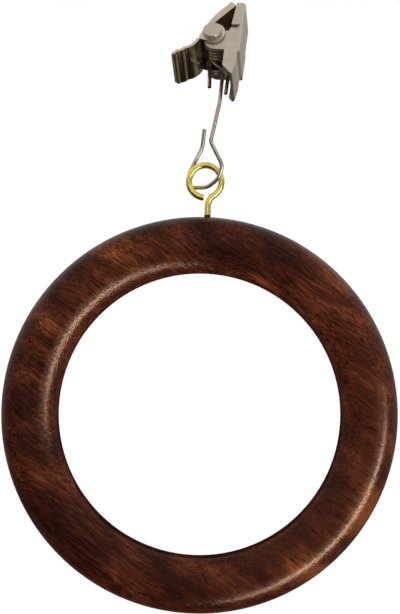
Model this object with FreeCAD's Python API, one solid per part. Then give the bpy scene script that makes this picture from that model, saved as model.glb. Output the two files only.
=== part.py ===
"""Wooden curtain ring with a screwed-in eye, a wire hook and a sprung clip."""
import FreeCAD, Part
import math
import os

# Millimetres and degrees. The ring's bore runs along Y through the origin, and the clip hangs towards -Z.

# Turned wooden ring
RING_OD = 70.0
RING_BORE = 50.0
RING_THICKNESS = 11.0
BORE_LAND = 4.0            # straight band in the middle of the bore
INNER_FULLNESS = 0.54      # 0.55 gives an elliptical shoulder, and more is squarer
OUTER_FULLNESS = 0.66
PILOT_RIM = 0.25           # width of the countersink round the screw hole

# Screw eye bent from brass wire
EYE_WIRE = 1.1
EYE_INSIDE = 4.65          # clear diameter of the loop
EYE_DROP = 6.26            # from the wood to the loop's centre
EYE_SIDE = 0.2             # from the ring's centre line to the shank's axis
EYE_OFFSET = 0.65          # from the shank's axis to the loop's centre
EYE_NECK_RADIUS = 2.2
EYE_END_GAP = 0.25         # between the wire's cut end and the shank
SCREW_LENGTH = 6.5         # in the wood, with its point
SCREW_POINT = 1.8

# Steel hook
HOOK_WIRE = 0.7
HOOK_GAP = 0.4             # between the hook and the eye where they cross
HOOK_TIP = (0.55, 0.6, -9.3)       # from the eye's centre
HOOK_FREE_END = (0.82, 1.15, -6.0)
HOOK_FREE_RADIUS = 3.0
HOOK_WAIST = (-0.62, -1.75, -6.95)
HOOK_WAIST_RADIUS = 1.2
HOOK_SHANK_RADIUS = 3.0    # where the shank turns to the clip
# Corners of the loop through the eye: x, depth in link depths, z and bend radius, all others in eye radii
HOOK_LOOP = [
    (1.04, 1.1, -0.42, 0.52),
    (0.90, 1.0, 0.40, 0.31),
    (-0.12, 0.05, 0.36, 0.90),
    (-0.80, -0.88, -0.18, 1.0),
    (-1.01, -1.25, -1.0, 0.70),
]
HOOK_SIDE_GAP = 0.15       # between the hook's bend and the far ear
J_RADIUS = 1.28            # centre line of the bend round the pin
J_SHIFT = -0.22            # the bend hangs off the pin's centre by this much
J_SHANK_LEAN = -2.0        # the bend's legs from the rear jaw's back
J_SHANK = 9.8
J_TAIL_LEAN = -6.0
J_TAIL = 6.55

# Clip, in its own frame: pin along y, lever ends towards +z, rear jaw on the -x side
PIN_PLACE = (-0.53, 1.5, -23.85)   # from the eye's centre
CLIP_TILT = 36.5           # the pin dips away from the ring's axis
CLIP_LEAN = -10.6
CLIP_ROLL = 13.0
SHEET = 0.5
SHEET_FOLD_RADIUS = 0.6    # outer radius of the folds
FRONT_WIDTH = 8.0
EAR_GAP = 0.1              # between the ears of the two jaws
REAR_STEP = 0.5            # the rear jaw's side walls stand outside its near ear by this much

# Rear jaw
PIN_TO_BACK = 5.1
REAR_JAW_END = -7.4
REAR_EAR_TOP = -2.0
REAR_EAR_NECK = -1.0       # upper edge of the ears towards the pin
REAR_EAR_FOOT = 3.4
REAR_EAR_RADIUS = 1.4
REAR_EAR_CORNER = 2.2
REAR_EAR_FOLD_RADIUS = 0.4
REAR_RELIEF = 0.2          # slots beside the ears
REAR_WALL_TIP = 1.5        # depth of the side walls at the jaw's end
REAR_WALL_EAR = 2.0        # and beside the ears
REAR_NECK_DEPTH = 2.4
REAR_WALL_LEVER = 2.5      # from the pin's plane to the lever's near side wall
REAR_WALL_FAR = 3.25       # and to its lower far one
REAR_WALL_FOOT = 7.45      # where the lever's side walls start to taper off
REAR_SET_TURN = 32.0       # step behind the ears
REAR_SET_RADIUS = 1.3
REAR_NECK = 1.5
REAR_CURL_TURN = 9.0       # the lever's inward curl
REAR_CURL_RADIUS = 8.0
REAR_LIP = 1.7

# Front jaw
FRONT_TIP = (-2.45, -7.7)
FRONT_HEADING = 45.0
FRONT_BOW_TURN = -31.0
FRONT_BOW_RADIUS = 18.8
FRONT_ROOT = 0.4
FRONT_FLARE_TURN = 44.0    # where the lever swings out
FRONT_FLARE_RADIUS = 3.2
WAVE_TURN = 18.0           # finger-grip waves
WAVE_RADIUS = 1.2
WAVES = 2
FRONT_LIP_TURN = -20.0
FRONT_LIP_RADIUS = 1.0
FRONT_CORNER_RADIUS = 0.7  # corners of the lever's end
FRONT_WALL = 1.45          # depth of the side walls at the jaw's end
FRONT_EAR_RADIUS = 2.2

# Rivet
PIN_DIAMETER = 1.0
PIN_RUNNING = 0.03         # radial play in the ears
HEAD_DIAMETER = 3.4
HEAD_HEIGHT = 0.75
HEAD_ROUND = 0.25
TAIL_DIAMETER = 2.4
TAIL_HEIGHT = 0.5
HEAD_GAP = 0.05            # between the rivet's heads and the ears

# Torsion spring
SPRING_WIRE = 0.65
SPRING_PLAY = 0.35         # between the coil and the pin
SPRING_SHIFT = -0.2        # the coil lies off the pin's centre by this much
SPRING_TURNS = 7           # whole turns before the legs' own part turn is taken off
SPRING_SIDE_GAP = 0.05     # between the coil and its neighbours
REAR_LEG_ANGLE = 44.0      # from the lever direction
REAR_LEG_LENGTH = 4.96     # to its knee
REAR_LEG_RADIUS = 1.0
REAR_LEG_TOE = 4.38        # along the lever
FRONT_LEG_ANGLE = 65.0
FRONT_LEG_LENGTH = 2.0
TOUCH = 1e-4               # places closer than this are the same

Vector = FreeCAD.Vector
Rotation = FreeCAD.Rotation
X_AXIS = Vector(1, 0, 0)
Y_AXIS = Vector(0, 1, 0)
Z_AXIS = Vector(0, 0, 1)
ORIGIN = Vector(0, 0, 0)

ring_radius = RING_OD / 2
bore_radius = RING_BORE / 2
eye_radius = (EYE_INSIDE + EYE_WIRE) / 2
eye_centre = Vector(EYE_SIDE + EYE_OFFSET, 0, -ring_radius - EYE_DROP)
link_depth = (EYE_WIRE + HOOK_WIRE) / 2 + HOOK_GAP
clip_turn = (Rotation(Y_AXIS, CLIP_LEAN).multiply(Rotation(X_AXIS, CLIP_TILT))
             .multiply(Rotation(Y_AXIS, CLIP_ROLL)))
clip_place = FreeCAD.Placement(eye_centre + Vector(*PIN_PLACE), clip_turn)

pin_radius = PIN_DIAMETER / 2
front_half = FRONT_WIDTH / 2
near_ear_face = front_half - SHEET - EAR_GAP   # the rear jaw's near ear lies inside the front jaw's
far_ear_face = front_half + EAR_GAP + SHEET    # and its far ear outside
rear_half = near_ear_face + REAR_STEP
hook_plane = front_half - SHEET - HOOK_SIDE_GAP - HOOK_WIRE / 2
coil_radius = pin_radius + SPRING_PLAY + SPRING_WIRE / 2


def line(a, b):
    return Part.LineSegment(a, b).toShape()


def arc(a, middle, b):
    return Part.Arc(a, middle, b).toShape()


def rounded_path(points, radii):
    """Straight runs through the points, with a tangent arc of the given radius at each inner point."""
    edges = []
    start = points[0]
    for before, corner, after, radius in zip(points, points[1:], points[2:], radii):
        back = (before - corner).normalize()
        ahead = (after - corner).normalize()
        half = back.getAngle(ahead) / 2
        reach = radius / math.tan(half)
        inward = (back + ahead).normalize()
        middle = corner + inward * (radius / math.sin(half) - radius)
        edges.append(line(start, corner + back * reach))
        edges.append(arc(corner + back * reach, middle, corner + ahead * reach))
        start = corner + ahead * reach
    edges.append(line(start, points[-1]))
    return edges


def wire_solid(edges, diameter):
    """A round wire along a tangent path."""
    path = Part.Wire(edges)
    first = path.OrderedEdges[0]
    start = first.valueAt(first.FirstParameter)
    section = Part.Wire(Part.makeCircle(diameter / 2, start, first.tangentAt(first.FirstParameter)))
    return path.makePipeShell([section], True, False)


def along(heading):
    return Vector(math.sin(math.radians(heading)), 0, math.cos(math.radians(heading)))


def beside(heading):
    return Vector(math.cos(math.radians(heading)), 0, -math.sin(math.radians(heading)))


def profile(start, heading, moves, side):
    """Edges of a bent strip's line in the xz plane, set off sideways; a move is (run,) or (turn, radius)."""
    edges = []
    point = start
    for move in moves:
        if len(move) == 1:
            end = point + along(heading) * move[0]
            edges.append(line(point + beside(heading) * side, end + beside(heading) * side))
        else:
            turn, radius = move
            arm = math.copysign(radius, turn)
            centre = point + beside(heading) * arm
            halfway = heading + turn / 2
            end = centre - beside(heading + turn) * arm
            edges.append(arc(point + beside(heading) * side,
                             centre - beside(halfway) * (arm - side),
                             end + beside(heading + turn) * side))
            heading += turn
        point = end
    return edges


def first_point(edges):
    return edges[0].valueAt(edges[0].FirstParameter)


def last_point(edges):
    return edges[-1].valueAt(edges[-1].LastParameter)


def closed_face(edges, corners=()):
    """A face bounded by an open chain of edges, closed through the corners."""
    ring = list(edges)
    points = [last_point(edges), *corners, first_point(edges)]
    ring += [line(a, b) for a, b in zip(points, points[1:])]
    return Part.Face(Part.Wire(Part.__sortEdges__(ring)))


def across(face, half_width):
    """The face extruded to both sides of the clip's middle."""
    face.translate(Y_AXIS * -half_width)
    return face.extrude(Y_AXIS * 2 * half_width)


def edges_at(solid, middles):
    """The solid's edges with a middle at one of the places."""
    return [edge for edge in solid.Edges if any(edge.CenterOfMass.isEqual(m, TOUCH) for m in middles)]


def channel(outline, back, half_width):
    """A folded sheet: the outline across the width, rounded along its back and hollowed inside."""
    solid = across(outline, half_width)
    middles = [edge.CenterOfMass + Y_AXIS * s * half_width for edge in back for s in (-1, 1)]
    return solid.makeFillet(SHEET_FOLD_RADIUS, edges_at(solid, middles))


def pin_hole(solid):
    radius = pin_radius + PIN_RUNNING
    return solid.cut(Part.makeCylinder(radius, 2 * FRONT_WIDTH, Y_AXIS * -FRONT_WIDTH, Y_AXIS))


def make_eye_screw():
    """Shank with a point, an S bend at the neck and an open loop."""
    offset = EYE_OFFSET + EYE_NECK_RADIUS
    neck_z = eye_centre.z + math.sqrt((eye_radius + EYE_NECK_RADIUS) ** 2 - offset ** 2)
    neck = Vector(EYE_SIDE, 0, neck_z)
    neck_centre = neck - X_AXIS * EYE_NECK_RADIUS
    to_neck = (neck_centre - eye_centre).normalize()
    joint = eye_centre + to_neck * eye_radius
    bend_middle = neck_centre + (X_AXIS - to_neck).normalize() * EYE_NECK_RADIUS
    end_x = EYE_WIRE / 2 + EYE_END_GAP - EYE_OFFSET
    end = eye_centre + Vector(end_x, 0, math.sqrt(eye_radius ** 2 - end_x ** 2))
    far_side = eye_centre - (to_neck + (end - eye_centre).normalize()).normalize() * eye_radius
    foot = Vector(EYE_SIDE, 0, -ring_radius + SCREW_LENGTH - SCREW_POINT)
    path = [line(foot, neck), arc(neck, bend_middle, joint), arc(joint, far_side, end)]
    point = Part.makeCone(EYE_WIRE / 2, 0, SCREW_POINT, foot, Z_AXIS)
    return wire_solid(path, EYE_WIRE).fuse(point).removeSplitter()


def quarter(start, corner, end, fullness):
    """A rounded quarter of the section, tangent to the sides that meet at the corner."""
    curve = Part.BezierCurve()
    curve.setPoles([start, start + (corner - start) * fullness, end + (corner - end) * fullness, end])
    return curve.toShape()


def make_ring(eye_screw):
    """Rounded section turned about the bore, with the screw's hole."""
    middle = (ring_radius + bore_radius) / 2
    half = RING_THICKNESS / 2
    land = BORE_LAND / 2
    edges = [line(Vector(bore_radius, -land, 0), Vector(bore_radius, land, 0))]
    for face in (half, -half):
        foot = math.copysign(land, face)
        crown = Vector(middle, face, 0)
        inner_corner = Vector(bore_radius, face, 0)
        outer_corner = Vector(ring_radius, face, 0)
        edges.append(quarter(Vector(bore_radius, foot, 0), inner_corner, crown, INNER_FULLNESS))
        edges.append(quarter(crown, outer_corner, Vector(ring_radius, 0, 0), OUTER_FULLNESS))
    section = Part.Face(Part.Wire(Part.__sortEdges__(edges)))
    ring = section.revolve(ORIGIN, Y_AXIS, 360)
    rim = EYE_WIRE / 2 + PILOT_RIM
    countersink = Part.makeCone(rim, EYE_WIRE / 2, PILOT_RIM, Vector(EYE_SIDE, 0, -ring_radius), Z_AXIS)
    return ring.cut(countersink).cut(eye_screw)


def make_hook():
    """Open loop through the eye, a shank, and a J bend round the clip's pin."""
    def link(x, depth, z):
        return eye_centre + Vector(x * eye_radius, depth * link_depth, z * eye_radius)

    to_part = clip_place.multVec
    centre = Vector(J_SHIFT, hook_plane, 0)
    bend_start = centre - beside(J_SHANK_LEAN) * J_RADIUS
    bend_middle = centre - along((J_SHANK_LEAN + J_TAIL_LEAN) / 2) * J_RADIUS
    bend_end = centre + beside(J_TAIL_LEAN) * J_RADIUS
    shank_end = bend_start + along(J_SHANK_LEAN) * J_SHANK
    corners = [eye_centre + Vector(*HOOK_TIP), eye_centre + Vector(*HOOK_FREE_END),
               *[link(x, depth, z) for x, depth, z, _ in HOOK_LOOP],
               eye_centre + Vector(*HOOK_WAIST), to_part(shank_end), to_part(bend_start)]
    bends = [HOOK_FREE_RADIUS, *[bend * eye_radius for _, _, _, bend in HOOK_LOOP],
             HOOK_WAIST_RADIUS, HOOK_SHANK_RADIUS]
    edges = rounded_path(corners, bends)
    edges.append(arc(to_part(bend_start), to_part(bend_middle), to_part(bend_end)))
    edges.append(line(to_part(bend_end), to_part(bend_end + along(J_TAIL_LEAN) * J_TAIL)))
    return wire_solid(edges, HOOK_WIRE)


def make_rear_jaw():
    """Channel with a straight back, side walls, a near ear set in, a far ear set out and a stepped lever."""
    moves = [(REAR_EAR_FOOT - REAR_JAW_END,),
             (REAR_SET_TURN, REAR_SET_RADIUS),
             (-REAR_SET_TURN, REAR_SET_RADIUS),
             (REAR_NECK,),
             (REAR_CURL_TURN, REAR_CURL_RADIUS),
             (REAR_LIP,)]
    start = Vector(-PIN_TO_BACK, 0, REAR_JAW_END)
    back = profile(start, 0, moves, 0)
    inside = profile(start, 0, moves, SHEET)
    wall_x = -PIN_TO_BACK + SHEET
    walls = [last_point(inside),
             Vector(-REAR_WALL_LEVER, 0, REAR_WALL_FOOT),
             Vector(-REAR_WALL_LEVER, 0, REAR_EAR_FOOT),
             Vector(-PIN_TO_BACK + REAR_WALL_EAR, 0, REAR_EAR_TOP),
             Vector(-PIN_TO_BACK + REAR_WALL_TIP, 0, REAR_JAW_END)]
    solid = channel(closed_face(back, walls), back, rear_half)
    clear = X_AXIS * PIN_TO_BACK
    room = closed_face(inside, [last_point(inside) + clear, first_point(inside) + clear])
    solid = solid.cut(across(room, rear_half - SHEET))
    trim = Part.makeBox(REAR_WALL_FAR, rear_half, last_point(inside).z - REAR_EAR_FOOT,
                        Vector(-REAR_WALL_FAR, 0, REAR_EAR_FOOT))
    solid = solid.cut(trim)
    lip = Part.makeBox(REAR_WALL_TIP - SHEET / 2, 2 * rear_half - SHEET, SHEET,
                       Vector(wall_x - SHEET / 2, SHEET / 2 - rear_half, REAR_JAW_END))
    solid = solid.fuse(lip)
    gap_foot = REAR_EAR_TOP - REAR_RELIEF
    gap_height = REAR_EAR_FOOT - REAR_EAR_TOP + 2 * REAR_RELIEF
    gap = Part.makeBox(PIN_TO_BACK, 2 * rear_half, gap_height, Vector(wall_x, -rear_half, gap_foot))
    solid = solid.cut(gap)

    radius = REAR_EAR_RADIUS
    corner = REAR_EAR_CORNER
    foot_z = REAR_EAR_FOOT - corner
    shoulder = Vector(-PIN_TO_BACK + REAR_WALL_EAR, 0, REAR_EAR_TOP)
    neck = Vector(-PIN_TO_BACK + REAR_NECK_DEPTH, 0, REAR_EAR_NECK)
    lobe = Vector(-math.sqrt(radius ** 2 - REAR_EAR_NECK ** 2), 0, REAR_EAR_NECK)
    root_x = -PIN_TO_BACK + REAR_EAR_FOLD_RADIUS
    edges = [line(Vector(root_x, 0, REAR_EAR_TOP), shoulder),
             line(shoulder, neck),
             line(neck, lobe),
             arc(lobe, Vector(0, 0, -radius), Vector(radius, 0, 0)),
             line(Vector(radius, 0, 0), Vector(radius, 0, foot_z)),
             arc(Vector(radius, 0, foot_z),
                 Vector(radius - corner + corner * math.sqrt(0.5), 0, foot_z + corner * math.sqrt(0.5)),
                 Vector(radius - corner, 0, REAR_EAR_FOOT)),
             line(Vector(radius - corner, 0, REAR_EAR_FOOT), Vector(root_x, 0, REAR_EAR_FOOT))]
    ear = closed_face(edges)
    for low_face in (-near_ear_face, far_ear_face - SHEET):
        tab = ear.copy()
        tab.translate(Y_AXIS * low_face)
        solid = solid.fuse(tab.extrude(Y_AXIS * SHEET))
    web = Part.makeBox(SHEET, far_ear_face - rear_half + SHEET, REAR_EAR_FOOT - REAR_EAR_TOP,
                       Vector(-PIN_TO_BACK, rear_half - SHEET, REAR_EAR_TOP))
    middle = Vector(-PIN_TO_BACK, far_ear_face, (REAR_EAR_FOOT + REAR_EAR_TOP) / 2)
    solid = solid.fuse(web.makeFillet(REAR_EAR_FOLD_RADIUS, edges_at(web, [middle])))
    return pin_hole(solid.removeSplitter())


def make_front_jaw():
    """Bowed channel with outer ears and a waved finger lever."""
    jaw = [(FRONT_BOW_TURN, FRONT_BOW_RADIUS), (FRONT_ROOT,)]
    lever = [(FRONT_FLARE_TURN, FRONT_FLARE_RADIUS)]
    lever += [(WAVE_TURN, WAVE_RADIUS), (-2 * WAVE_TURN, WAVE_RADIUS), (WAVE_TURN, WAVE_RADIUS)] * WAVES
    lever += [(FRONT_LIP_TURN, FRONT_LIP_RADIUS)]
    start = Vector(FRONT_TIP[0], 0, FRONT_TIP[1])
    outer = profile(start, FRONT_HEADING, jaw + lever, 0)
    inner = profile(start, FRONT_HEADING, jaw + lever, -SHEET)
    back = outer[:len(jaw)]
    inside = inner[:len(jaw)]
    ear = FRONT_EAR_RADIUS
    tip = start - beside(FRONT_HEADING) * FRONT_WALL
    lobe = [line(last_point(back), last_point(inside)),
            line(last_point(inside), Vector(0, 0, ear)),
            arc(Vector(0, 0, ear), Vector(-ear, 0, 0), Vector(0, 0, -ear))]
    solid = channel(closed_face(back + lobe, [tip]), back, front_half)
    clear = X_AXIS * -FRONT_WIDTH
    low = first_point(inside) - Z_AXIS * ear
    high = last_point(inside) + Z_AXIS * ear
    room = closed_face(inside, [high, high + clear, low + clear, low])
    solid = solid.cut(across(room, front_half - SHEET))
    end = along(FRONT_HEADING) * SHEET
    lip = Part.Face(Part.makePolygon([start, start + end, tip + end, tip, start]))
    solid = solid.fuse(across(lip, front_half - SHEET / 2))
    strip_inner = inner[len(jaw):]
    strip = Part.Face(Part.Wire(Part.__sortEdges__(
        outer[len(jaw):] + strip_inner
        + [line(first_point(strip_inner), last_point(back)), line(last_point(outer), last_point(inner))])))
    strip = across(strip, front_half)
    end_middle = (last_point(outer) + last_point(inner)) / 2
    corners = edges_at(strip, [end_middle + Y_AXIS * s * front_half for s in (-1, 1)])
    strip = strip.makeFillet(FRONT_CORNER_RADIUS, corners)
    return pin_hole(solid.fuse(strip).removeSplitter())


def make_pin():
    """Rivet with a flat head in front and a small closed head behind."""
    near = -front_half - HEAD_GAP
    far = far_ear_face + HEAD_GAP
    shank = Part.makeCylinder(pin_radius, far - near, Y_AXIS * near, Y_AXIS)
    head = Part.makeCylinder(HEAD_DIAMETER / 2, HEAD_HEIGHT, Y_AXIS * (near - HEAD_HEIGHT), Y_AXIS)
    head = head.makeFillet(HEAD_ROUND, edges_at(head, [Y_AXIS * (near - HEAD_HEIGHT)]))
    tail = Part.makeCylinder(TAIL_DIAMETER / 2, TAIL_HEIGHT, Y_AXIS * far, Y_AXIS)
    tail = tail.makeFillet(HEAD_ROUND, edges_at(tail, [Y_AXIS * (far + TAIL_HEIGHT)]))
    return shank.fuse([head, tail]).removeSplitter()


def make_spring():
    """Close coil round the pin, with a leg on each lever, built as its mirror image."""
    room = SPRING_SIDE_GAP + SPRING_WIRE / 2
    first = Vector(-SPRING_SHIFT, SHEET - near_ear_face + room, 0)
    rise = hook_plane - HOOK_WIRE / 2 - room - first.y
    turns = SPRING_TURNS - (180 - FRONT_LEG_ANGLE - REAR_LEG_ANGLE) / 360
    start_arm = beside(-FRONT_LEG_ANGLE)
    base = FreeCAD.Placement(first, Rotation(start_arm, Y_AXIS.cross(start_arm), Y_AXIS, "XYZ"))
    coil = []
    for lap in range(SPRING_TURNS):
        share = lap / SPRING_TURNS
        piece = Part.makeHelix(rise / turns, rise / SPRING_TURNS, coil_radius)
        lift = FreeCAD.Placement(Z_AXIS * rise * share, Rotation(Z_AXIS, 360 * turns * share))
        piece.Placement = base.multiply(lift)
        coil += piece.Edges
    start = first + start_arm * coil_radius
    end = first + Y_AXIS * rise - beside(REAR_LEG_ANGLE) * coil_radius
    knee = end + along(REAR_LEG_ANGLE) * REAR_LEG_LENGTH
    path = [line(start + along(-FRONT_LEG_ANGLE) * FRONT_LEG_LENGTH, start), *coil,
            *rounded_path([end, knee, knee + Z_AXIS * REAR_LEG_TOE], [REAR_LEG_RADIUS])]
    return wire_solid(path, SPRING_WIRE).mirror(ORIGIN, X_AXIS)


eye_screw = make_eye_screw()
solids = {
    "ring": make_ring(eye_screw),
    "eye_screw": eye_screw,
    "hook_wire": make_hook(),
}
clip_solids = {
    "rear_jaw": make_rear_jaw(),
    "front_jaw": make_front_jaw(),
    "pivot_pin": make_pin(),
    "torsion_spring": make_spring(),
}
for name, solid in clip_solids.items():
    solid.Placement = clip_place.multiply(solid.Placement)
    solids[name] = solid

os.makedirs("parts", exist_ok=True)
for name, solid in solids.items():
    solid.exportStep("parts/" + name + ".step")
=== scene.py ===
import math

import bpy
from mathutils import Matrix, Vector


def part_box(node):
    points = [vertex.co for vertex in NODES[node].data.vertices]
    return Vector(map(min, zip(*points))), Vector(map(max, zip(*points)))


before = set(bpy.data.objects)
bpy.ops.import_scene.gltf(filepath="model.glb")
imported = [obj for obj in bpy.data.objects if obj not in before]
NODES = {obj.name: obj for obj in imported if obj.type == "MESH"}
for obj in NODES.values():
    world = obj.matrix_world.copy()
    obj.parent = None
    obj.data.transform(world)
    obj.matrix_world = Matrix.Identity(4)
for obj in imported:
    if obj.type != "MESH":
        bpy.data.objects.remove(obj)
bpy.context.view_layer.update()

MM = 0.001
WHITE = (1, 1, 1, 1)

# Camera, square to the ring. In the photograph the part is upside down and a little turned.
EYE_POINT = Vector((0.778, -350.0, -19.068)) * MM
ROLL = math.radians(2.603)
FIELD_HEIGHT = 108.49 * MM      # at the ring's middle plane
SENSOR = 36.0                   # millimetres, as the camera takes it
CLIP_START = 0.01
CLIP_END = 10

# Directions in the photograph, in the part's frame
RIGHT = Vector((-math.cos(ROLL), 0, -math.sin(ROLL)))
DOWN = Vector((-math.sin(ROLL), 0, math.cos(ROLL)))
TOWARDS = Vector((0, -1, 0))


def photo_point(right, down, towards):
    """A place given in millimetres from the ring's centre, as seen in the photograph."""
    return (RIGHT * right + DOWN * down + TOWARDS * towards) * MM


# Sizes in the materials are in millimetres. A grain is how fast a noise runs in each of its own three
# directions, so it is low along what it draws out and high across it.

RING_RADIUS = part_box("ring")[1][0] / MM
BORE_RADIUS = 25.0

# Grain of the wood, along the fibres first
GRAIN_TURN = (0, math.radians(-32.4), 0)    # brings the fibres' direction to the x axis
CLOUD_GRAIN = (0.10, 0.25, 0.25)
FIBRE_GRAIN = (0.07, 0.8, 0.8)
LINE_GRAIN = (0.13, 4.2, 4.2)
PORE_GRAIN = (0.6, 4.2, 4.2)
WARP_SCALE = 0.13
WARP_SHIFT = 1.8
FIBRE_SHARE = 0.6               # in the tone, beside the clouds
NOISE_MIDDLE = 0.5

# Patches in the wood, mostly tone that differs at random, though the two lightest towards the lower right
# also hold painted light, the lamps' warm glow on the outer band there: right and down from the ring's
# centre, length along the fibres, width, and strength, which is above zero where the patch is lighter
TONE_AND_LIT_PATCHES = [
    (-17.0, -28.5, 6.0, 3.5, 0.8),
    (-10.5, -30.0, 5.0, 3.0, 0.1),
    (-28.5, -16.5, 4.0, 3.2, 0.7),
    (-24.0, -9.0, 3.0, 5.0, 0.5),
    (22.5, -24.0, 7.0, 2.2, 0.6),
    (26.5, -15.5, 7.0, 2.6, 0.7),
    (32.5, -2.0, 4.0, 5.0, 0.5),
    # Painted light: these two patches stand in for the lamps' glow on the lower right's outer band
    (28.5, 18.0, 4.0, 6.0, 1.1),
    (18.0, 28.0, 6.0, 4.0, 1.1),
    (-4.0, 26.5, 4.0, 2.5, 0.6),
    (3.5, -29.0, 9.0, 3.5, -0.8),
    (14.0, -27.0, 6.0, 2.5, -0.6),
    (-27.0, 18.0, 6.0, 4.0, -1.2),
    (-20.0, 23.0, 6.0, 5.0, -0.9),
    (-5.0, 29.5, 9.0, 4.0, -0.9),
    (23.0, 12.0, 3.0, 2.5, -0.4),
    (-31.0, -2.0, 4.0, 4.0, -0.8),
    (-29.0, 7.0, 5.0, 5.0, -0.7),
]
PATCH_DEPTH = 4.0               # of a patch's centre, towards the viewer
PATCH_FADE = 0.12               # for each millimetre of depth
PATCH_OUTSIDE = 1.25            # times its size, where a patch ends
PATCH_INSIDE = 0.25             # and where it has its full strength
PATCH_TONE = 0.28               # the change of tone at strength 1

# Colours of the wood by tone, and what its fine lines and pores multiply them by
WOOD_TONES = [
    (0.22, (0.023, 0.0045, 0.0026, 1)),
    (0.42, (0.049, 0.0105, 0.0052, 1)),
    (0.60, (0.085, 0.0200, 0.0085, 1)),
    (0.82, (0.180, 0.0500, 0.0170, 1)),
]
LINE_SHADES = [(0.33, 0.32), (0.50, 0.92), (0.67, 1.95)]
PORE_SHADES = [(0.30, 0.20), (0.40, 1.0)]

# Painted sheen: the fine lines grow calmer towards the lower right of the view, standing in for the soft
# reflection that washes out the grain there
SHEEN_FROM = 8.0
SHEEN_TO = 32.0
SHEEN_MOST = 0.6

# Painted shade: a dark spot in the wood where the eye enters, standing in for the shadow in the mouth of
# its hole
SEAT = photo_point(1.5, -RING_RADIUS, 0) / MM
SEAT_REACH = 2.0
SEAT_PAINTED_SHADES = [(0.60, 0.05), (0.75, 1.0)]   # by the share of that reach

# Lacquer, with less gloss on the bore and the outer rim
LACQUER = {"Roughness": 0.22, "IOR": 1.45, "Specular Tint": (1.0, 0.70, 0.50, 1), "Coat Roughness": 0.1}
LACQUER_SPECULAR = 0.16
LACQUER_COAT = 0.03
BORE_BARE = BORE_RADIUS + 0.05
BORE_GLOSSY = BORE_RADIUS + 0.6
RIM_GLOSSY = RING_RADIUS - 1.1
RIM_DULL = RING_RADIUS - 0.2
RIM_GLOSS = 0.3
LINE_RELIEF = 0.6
PORE_RELIEF = 0.4
RELIEF_DEPTH = 0.1 * MM

# Metal: cloudy tarnish, fine drawn lines, and painted shade on the eye's foot, a dark band where the
# shank enters the wood
TARNISH_SCALE = 0.45
TARNISH_SHARES = [(0.35, 0.0), (0.7, 1.0)]
DRAWN_TURN = (0.3, 0.2, 0.1)
DRAWN_GRAIN = (0.5, 0.5, 7.0)
DRAWN_SHADES = [(0.3, 0.86), (0.7, 1.06)]
DRAWN_DEPTH = 0.03 * MM
PAINTED_FOOT_SHADE = (0.05, 0.022, 0.014, 1)
FOOT_SHADE_BLUR = 0.1
EYE_SHADE_HEIGHT = -RING_RADIUS - 0.4

# The room: its soft light, and what metal mirrors of it, from the photograph's top, at 0, to its
# bottom, at 1
ROOM_LIGHT = (0.56, 0.538, 0.515, 1)
MIRRORED_TOP = (0.80, 0.768, 0.736, 1)
MIRRORED_ROOM = [
    (0.04, MIRRORED_TOP),
    (0.30, (0.55, 0.528, 0.506, 1)),
    (0.50, (0.40, 0.384, 0.368, 1)),
    (0.66, (0.07, 0.061, 0.046, 1)),
    (0.77, (0.24, 0.208, 0.145, 1)),
    (0.86, (0.012, 0.010, 0.008, 1)),
]

# The floor, in metres, below the part and outside the photograph's view
FLOOR_HEIGHT = -0.16
FLOOR_REACH = 0.5
FLOOR_COLOUR = (0.85, 0.83, 0.80, 1)
FLOOR_LIFT = 0.56               # brings the lit floor to white for the camera


class Graph:
    """Short calls for building a node tree."""

    def __init__(self, tree):
        self.tree = tree
        tree.nodes.clear()

    def add(self, kind, inputs=None, **settings):
        node = self.tree.nodes.new(kind)
        for name, value in settings.items():
            setattr(node, name, value)
        for name, value in (inputs or {}).items():
            if isinstance(value, bpy.types.NodeSocket):
                self.link(value, node.inputs[name])
            else:
                node.inputs[name].default_value = value
        return node

    def link(self, source, target):
        self.tree.links.new(source, target)

    def math(self, operation, a, b, clamp=False):
        node = self.add("ShaderNodeMath", {0: a, 1: b}, operation=operation, use_clamp=clamp)
        return node.outputs[0]

    def vector(self, operation, a, b):
        return self.add("ShaderNodeVectorMath", {0: a, 1: b}, operation=operation).outputs["Vector"]

    def scaled(self, vector, scale):
        node = self.add("ShaderNodeVectorMath", {0: vector, "Scale": scale}, operation="SCALE")
        return node.outputs["Vector"]

    def length(self, vector):
        return self.add("ShaderNodeVectorMath", {0: vector}, operation="LENGTH").outputs["Value"]

    def along(self, vector, direction):
        node = self.add("ShaderNodeVectorMath", {0: vector, 1: direction}, operation="DOT_PRODUCT")
        return node.outputs["Value"]

    def turned(self, vector, rotation, scale):
        """The vector turned into a grain's own axes, then stretched."""
        spin = self.add("ShaderNodeMapping", {"Vector": vector, "Rotation": rotation})
        return self.add("ShaderNodeMapping", {"Vector": spin.outputs[0], "Scale": scale}).outputs[0]

    def fade(self, value, start, end, low=0.0, high=1.0, kind="LINEAR"):
        """From low to high while the value goes from start to end."""
        node = self.add("ShaderNodeMapRange", {0: value, 1: start, 2: end, 3: low, 4: high},
                        interpolation_type=kind)
        return node.outputs[0]

    def mix(self, factor, a, b, blend="MIX"):
        # A mix of colours has its colours in sockets 6 and 7, and its result in socket 2
        node = self.add("ShaderNodeMix", {0: factor, 6: a, 7: b}, data_type="RGBA", blend_type=blend)
        return node.outputs[2]

    def multiplied(self, a, b):
        return self.mix(1.0, a, b, "MULTIPLY")

    def ramp(self, factor, stops):
        node = self.add("ShaderNodeValToRGB", {0: factor})
        elements = node.color_ramp.elements
        while len(elements) < len(stops):
            elements.new(0.5)
        for element, (place, value) in zip(elements, stops):
            element.position = place
            element.color = value if isinstance(value, tuple) else (value, value, value, 1)
        return node.outputs[0]

    def noise(self, vector, detail, rough, scale=1.0):
        node = self.add("ShaderNodeTexNoise", {"Vector": vector, "Scale": scale, "Detail": detail,
                                               "Roughness": rough})
        return node.outputs[0]

    def choose(self, switch, a, b):
        """Shader a, or b where the switch is on."""
        return self.add("ShaderNodeMixShader", {0: switch, 1: a, 2: b}).outputs[0]


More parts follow.
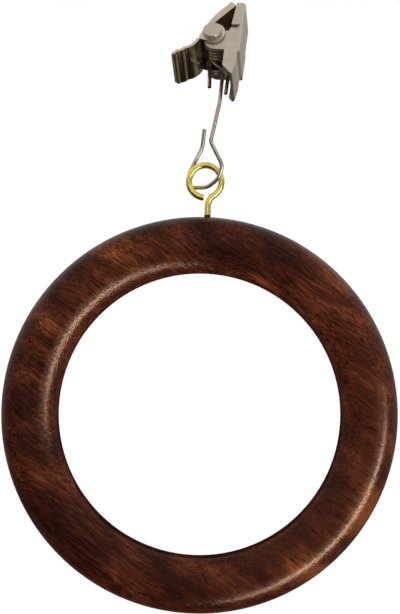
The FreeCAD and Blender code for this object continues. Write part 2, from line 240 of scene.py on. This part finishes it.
def new_material(name, inputs):
    """A material with a principled shader, and the place on the part in millimetres."""
    material = bpy.data.materials.new(name)
    material.use_nodes = True
    graph = Graph(material.node_tree)
    shader = graph.add("ShaderNodeBsdfPrincipled", inputs)
    graph.add("ShaderNodeOutputMaterial", {0: shader.outputs[0]})
    place = graph.scaled(graph.add("ShaderNodeTexCoord").outputs["Object"], 1 / MM)
    return material, graph, shader, place


def wood_material():
    """Dark rosewood: cloudy tone with patches, fibres, fine lines and pores, under lacquer; two patches
    are painted light, the fine lines carry a painted sheen, and the eye's seat a painted shade.
    """
    material, g, shader, place = new_material("dark_rosewood", LACQUER)

    warp = g.add("ShaderNodeTexNoise", {"Vector": place, "Scale": WARP_SCALE, "Detail": 1.0})
    wavy = g.vector("ADD", place, g.scaled(warp.outputs["Color"], WARP_SHIFT))
    fibres = g.noise(g.turned(wavy, GRAIN_TURN, FIBRE_GRAIN), detail=3.0, rough=0.6)
    lines = g.noise(g.turned(wavy, GRAIN_TURN, LINE_GRAIN), detail=2.0, rough=0.6)
    pores = g.noise(g.turned(place, GRAIN_TURN, PORE_GRAIN), detail=1.0, rough=0.4)

    tone = g.noise(g.turned(wavy, GRAIN_TURN, CLOUD_GRAIN), detail=4.0, rough=0.6)
    # Each patch shifts the tone; the two at strength 1.1 paint the lamps' light on the lower right's
    # outer band
    for right, down, length, width, strength in TONE_AND_LIT_PATCHES:
        centre = photo_point(right, down, PATCH_DEPTH) / MM
        away = g.turned(g.vector("SUBTRACT", wavy, centre), GRAIN_TURN,
                        (1 / length, PATCH_FADE, 1 / width))
        patch = g.fade(g.length(away), PATCH_OUTSIDE, PATCH_INSIDE,
                       high=strength * PATCH_TONE, kind="SMOOTHSTEP")
        tone = g.math("ADD", tone, patch)
    streaks = g.math("MULTIPLY", g.math("SUBTRACT", fibres, NOISE_MIDDLE), FIBRE_SHARE)
    colour = g.ramp(g.math("ADD", tone, streaks, clamp=True), WOOD_TONES)

    # Painted sheen: the fine lines fade towards the lower right, as under a soft reflection
    sheen = g.fade(g.along(place, RIGHT + DOWN), SHEEN_FROM, SHEEN_TO, high=SHEEN_MOST)
    colour = g.multiplied(colour, g.mix(sheen, g.ramp(lines, LINE_SHADES), WHITE))
    colour = g.multiplied(colour, g.ramp(pores, PORE_SHADES))
    # Painted shade at the eye's seat: the wood darkens around the mouth of the eye's hole
    from_seat = g.length(g.vector("SUBTRACT", place, SEAT))
    colour = g.multiplied(colour, g.ramp(g.math("DIVIDE", from_seat, SEAT_REACH), SEAT_PAINTED_SHADES))
    g.link(colour, shader.inputs["Base Color"])

    radius = g.length(g.vector("MULTIPLY", place, (1, 0, 1)))
    gloss = g.math("MULTIPLY", g.fade(radius, BORE_BARE, BORE_GLOSSY),
                   g.fade(radius, RIM_GLOSSY, RIM_DULL, low=1.0, high=RIM_GLOSS))
    g.link(g.math("MULTIPLY", gloss, LACQUER_SPECULAR), shader.inputs["Specular IOR Level"])
    g.link(g.math("MULTIPLY", gloss, LACQUER_COAT), shader.inputs["Coat Weight"])

    relief = g.math("ADD", g.math("MULTIPLY", lines, LINE_RELIEF), g.math("MULTIPLY", pores, PORE_RELIEF))
    bump = g.add("ShaderNodeBump", {"Strength": 1.0, "Distance": RELIEF_DEPTH, "Height": relief})
    g.link(bump.outputs[0], shader.inputs["Normal"])
    g.link(bump.outputs[0], shader.inputs["Coat Normal"])
    return material


def metal_material(name, colour, dull, roughness, rough_spread, scratch, shade_from=None):
    """Drawn or pressed metal with tarnish, drawn lines and uneven polish, and painted shade above a
    height.
    """
    material, g, shader, place = new_material(name, {"Metallic": 1.0})
    cloud = g.noise(place, detail=4.0, rough=0.6, scale=TARNISH_SCALE)
    drawn = g.noise(g.turned(place, DRAWN_TURN, DRAWN_GRAIN), detail=3.0, rough=0.6)

    tint = g.mix(g.ramp(cloud, TARNISH_SHARES), colour, dull)
    tint = g.multiplied(tint, g.ramp(drawn, DRAWN_SHADES))
    # Painted shade: the metal turns dark above the given height, standing in for the shadow where the
    # shank enters its hole
    if shade_from is not None:
        height = g.add("ShaderNodeSeparateXYZ", {0: place}).outputs["Z"]
        tint = g.mix(g.fade(height, shade_from - FOOT_SHADE_BLUR, shade_from + FOOT_SHADE_BLUR), tint, PAINTED_FOOT_SHADE)
    g.link(tint, shader.inputs["Base Color"])

    uneven = g.math("MULTIPLY", g.math("SUBTRACT", drawn, NOISE_MIDDLE), rough_spread)
    g.link(g.math("ADD", uneven, roughness, clamp=True), shader.inputs["Roughness"])
    bump = g.add("ShaderNodeBump", {"Strength": scratch, "Distance": DRAWN_DEPTH, "Height": drawn})
    g.link(bump.outputs[0], shader.inputs["Normal"])
    return material


def dress(name, material):
    node = NODES[name]
    node.data.materials.clear()
    node.data.materials.append(material)


def area_light(name, place, size, power, colour):
    """A lamp that faces the ring's centre."""
    data = bpy.data.lights.new(name, "AREA")
    data.shape = "RECTANGLE"
    data.size, data.size_y = size
    data.energy = power
    data.color = colour
    light = bpy.data.objects.new(name, data)
    bpy.context.scene.collection.objects.link(light)
    light.location = place
    back = place.normalized()
    across = TOWARDS.cross(back).normalized()
    light.rotation_euler = Matrix((across, back.cross(across), back)).transposed().to_euler()
    return light


def white_room():
    """White to the camera, even for soft light, and a gradient in reflections."""
    world = bpy.data.worlds.new("white_room")
    world.use_nodes = True
    g = Graph(world.node_tree)
    below = g.along(g.add("ShaderNodeTexCoord").outputs["Generated"], DOWN)
    mirrored = g.ramp(g.fade(below, -1.0, 1.0), MIRRORED_ROOM)
    path = g.add("ShaderNodeLightPath")
    level = g.mix(path.outputs["Is Glossy Ray"], ROOM_LIGHT, mirrored)
    around = g.add("ShaderNodeBackground", {"Color": level}).outputs[0]
    seen = g.add("ShaderNodeBackground", {"Color": WHITE}).outputs[0]
    g.add("ShaderNodeOutputWorld", {0: g.choose(path.outputs["Is Camera Ray"], around, seen)})
    # The world isn't sampled as a lamp, because that would leave out the switch for reflections
    world.cycles.sampling_method = "NONE"
    return world


def floor_material():
    """Matt, so it keeps the part's shadow; white to the camera where lit, and open from beneath."""
    material = bpy.data.materials.new("pale_floor")
    material.use_nodes = True
    g = Graph(material.node_tree)
    path = g.add("ShaderNodeLightPath")
    matt = g.add("ShaderNodeBsdfDiffuse", {"Color": FLOOR_COLOUR}).outputs[0]
    mirrored = g.add("ShaderNodeEmission", {"Color": MIRRORED_TOP}).outputs[0]
    lift = g.add("ShaderNodeEmission", {"Color": WHITE, "Strength": FLOOR_LIFT}).outputs[0]
    seen = g.add("ShaderNodeAddShader", {0: matt, 1: lift}).outputs[0]
    clear = g.add("ShaderNodeBsdfTransparent").outputs[0]
    face = g.choose(path.outputs["Is Glossy Ray"], matt, mirrored)
    face = g.choose(path.outputs["Is Camera Ray"], face, seen)
    face = g.choose(g.add("ShaderNodeNewGeometry").outputs["Backfacing"], face, clear)
    g.add("ShaderNodeOutputMaterial", {0: face})
    return material


dress("ring", wood_material())
# The brass eye carries painted shade at its foot, where it enters the wood
dress("eye_screw", metal_material(
    "bright_brass", colour=(1.0, 0.84, 0.23, 1), dull=(0.94, 0.74, 0.15, 1),
    roughness=0.18, rough_spread=0.15, scratch=0.06, shade_from=EYE_SHADE_HEIGHT))
dress("hook_wire", metal_material(
    "steel_wire", colour=(0.62, 0.56, 0.50, 1), dull=(0.46, 0.42, 0.37, 1),
    roughness=0.26, rough_spread=0.15, scratch=0.08))
dress("rear_jaw", metal_material(
    "satin_nickel", colour=(0.72, 0.64, 0.56, 1), dull=(0.65, 0.57, 0.50, 1),
    roughness=0.45, rough_spread=0.15, scratch=0.08))
dress("front_jaw", metal_material(
    "lever_nickel", colour=(0.70, 0.62, 0.53, 1), dull=(0.60, 0.52, 0.42, 1),
    roughness=0.19, rough_spread=0.08, scratch=0.03))
dress("pivot_pin", metal_material(
    "rivet_nickel", colour=(0.68, 0.61, 0.54, 1), dull=(0.60, 0.53, 0.46, 1),
    roughness=0.4, rough_spread=0.15, scratch=0.1))
dress("torsion_spring", metal_material(
    "spring_wire", colour=(0.46, 0.41, 0.33, 1), dull=(0.36, 0.32, 0.25, 1),
    roughness=0.25, rough_spread=0.2, scratch=0.1))

# The key gives only the lacquer's gloss, and lights nothing else
key = area_light("key", photo_point(right=254, down=237, towards=290),
                 size=(0.48, 0.08), power=5.8, colour=(1.0, 0.89, 0.78))
key.visible_diffuse = False
lacquered = bpy.data.collections.new("lacquered")
lacquered.objects.link(NODES["ring"])
key.light_linking.receiver_collection = lacquered
area_light("soft", photo_point(right=330, down=240, towards=420),
           size=(0.4, 0.4), power=1.7, colour=(1.0, 0.96, 0.91))
area_light("front", photo_point(right=-60, down=-40, towards=420),
           size=(0.04, 0.04), power=0.03, colour=(1.0, 0.97, 0.94))
bpy.context.scene.world = white_room()

floor_mesh = bpy.data.meshes.new("floor")
corners = [(-1, -1), (1, -1), (1, 1), (-1, 1)]
floor_mesh.from_pydata([(x * FLOOR_REACH, y * FLOOR_REACH, FLOOR_HEIGHT) for x, y in corners],
                       [], [(0, 1, 2, 3)])
floor_mesh.materials.append(floor_material())
floor = bpy.data.objects.new("floor", floor_mesh)
bpy.context.scene.collection.objects.link(floor)

camera_data = bpy.data.cameras.new("camera")
camera_data.sensor_width = SENSOR
camera_data.lens = SENSOR * -EYE_POINT.y / FIELD_HEIGHT
camera_data.clip_start = CLIP_START
camera_data.clip_end = CLIP_END
camera = bpy.data.objects.new("camera", camera_data)
bpy.context.scene.collection.objects.link(camera)
camera.matrix_world = (Matrix.Translation(EYE_POINT)
                       @ Matrix((RIGHT, -DOWN, TOWARDS)).transposed().to_4x4())
bpy.context.scene.camera = camera
bpy.context.scene.view_settings.view_transform = "Standard"
